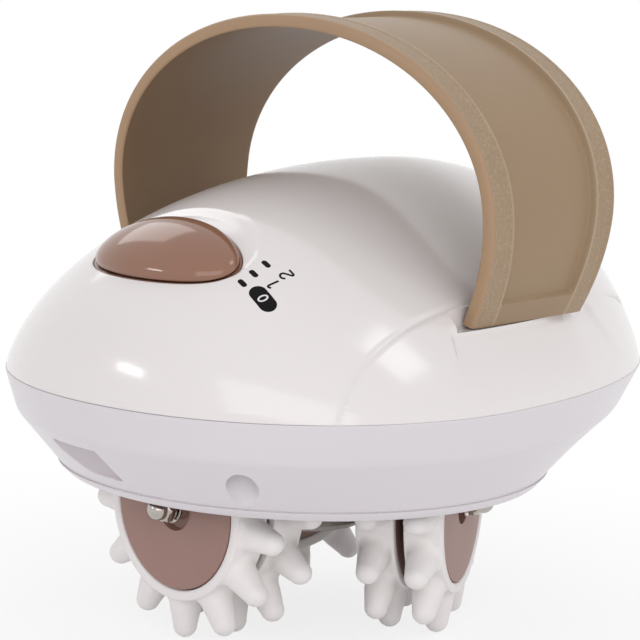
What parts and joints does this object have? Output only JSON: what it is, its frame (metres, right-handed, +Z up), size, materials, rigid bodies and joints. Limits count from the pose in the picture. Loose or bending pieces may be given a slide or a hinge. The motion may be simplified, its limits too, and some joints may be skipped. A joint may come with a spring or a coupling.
{
  "type": "electric body massager",
  "caption": "Palm-held electric body massager: domed case under a hand strap, slide switch on the nose, knobbed rollers on a turning carrier below.",
  "frame": {"origin": "on the table under the centre of the case, where it stands on its roller knobs", "axes": "+Z up, nose and switch towards -Y, the strap arches from -X to +X"},
  "size_m": [0.1236, 0.1616, 0.1344],
  "materials": {
    "gloss_white_plastic": "gloss",
    "satin_white_plastic": "satin",
    "tan_rubber": "satin",
    "mocha_plastic": "satin",
    "soft_white_rubber": "matte",
    "bright_steel": "polished",
    "zinc_steel": "satin",
    "sintered_bronze": "satin",
    "natural_nylon": "satin",
    "black_plastic": "satin",
    "circuit_board": "satin",
    "lead_insulation": "satin"
  },
  "bodies": {
    "case": {"top_shell": "gloss_white_plastic", "lower_housing": "satin_white_plastic", "strap": "tan_rubber", "strap_clamp_left": "zinc_steel", "strap_clamp_right": "zinc_steel", "clamp_screw_left": "zinc_steel", "clamp_screw_right": "zinc_steel", "case_screw_1": "zinc_steel", "case_screw_2": "zinc_steel", "case_screw_3": "zinc_steel", "power_socket": "black_plastic", "socket_lead": "lead_insulation", "motor_lead": "black_plastic", "switch_tray": "mocha_plastic", "slide_switch": "zinc_steel", "switch_board": "circuit_board", "gearbox_frame": "natural_nylon", "frame_screw_1": "zinc_steel", "frame_screw_2": "zinc_steel", "motor_screw_1": "zinc_steel", "motor_screw_2": "zinc_steel", "lower_bush": "sintered_bronze", "upper_bush": "sintered_bronze", "worm_end_bush": "sintered_bronze", "motor_case": "zinc_steel", "motor_end_cap": "black_plastic"},
    "worm": {"motor_shaft": "zinc_steel", "worm": "sintered_bronze"},
    "carrier": {"output_shaft": "zinc_steel", "worm_wheel": "natural_nylon", "roller_carrier": "satin_white_plastic", "carrier_cap": "mocha_plastic", "carrier_screw": "zinc_steel", "axle_1": "bright_steel", "axle_2": "bright_steel", "axle_3": "bright_steel", "axle_washer_1": "bright_steel", "axle_washer_2": "bright_steel", "axle_washer_3": "bright_steel", "acorn_nut_1": "bright_steel", "acorn_nut_2": "bright_steel", "acorn_nut_3": "bright_steel"},
    "switch": {"switch_knob": "mocha_plastic", "switch_actuator": "black_plastic"},
    "roller_1": {"outer_core_1": "mocha_plastic", "inner_core_1": "mocha_plastic", "core_spacer_1": "mocha_plastic", "outer_ring_1": "soft_white_rubber", "inner_ring_1": "soft_white_rubber"},
    "roller_2": {"outer_core_2": "mocha_plastic", "inner_core_2": "mocha_plastic", "core_spacer_2": "mocha_plastic", "outer_ring_2": "soft_white_rubber", "inner_ring_2": "soft_white_rubber"},
    "roller_3": {"outer_core_3": "mocha_plastic", "inner_core_3": "mocha_plastic", "core_spacer_3": "mocha_plastic", "outer_ring_3": "soft_white_rubber", "inner_ring_3": "soft_white_rubber"}
  },
  "joints": [
    {"name": "carrier_spin", "type": "hinge", "parent": "case", "child": "carrier", "pos_m": [0, -0.01345, 0.0296], "axis": [0, 0, 1], "continuous": true},
    {"name": "worm_spin", "type": "hinge", "parent": "case", "child": "worm", "pos_m": [0.0157, -0.01345, 0.0763], "axis": [0, 1, 0], "continuous": true},
    {"name": "switch_slide", "type": "slide", "parent": "case", "child": "switch", "axis": [0, 0.8813, 0.4726], "range_m": [0, 0.0041]},
    {"name": "roller_1_spin", "type": "hinge", "parent": "carrier", "child": "roller_1", "pos_m": [0, -0.01345, 0.0296], "axis": [-0.0958, -0.9954, 0], "continuous": true},
    {"name": "roller_2_spin", "type": "hinge", "parent": "carrier", "child": "roller_2", "pos_m": [0, -0.01345, 0.0296], "axis": [0.91, 0.4147, 0], "continuous": true},
    {"name": "roller_3_spin", "type": "hinge", "parent": "carrier", "child": "roller_3", "pos_m": [0, -0.01345, 0.0296], "axis": [-0.8141, 0.5807, 0], "continuous": true}
  ],
  "couplings": [
    {"joint": "worm_spin", "follows": "carrier_spin", "ratio": -24}
  ]
}
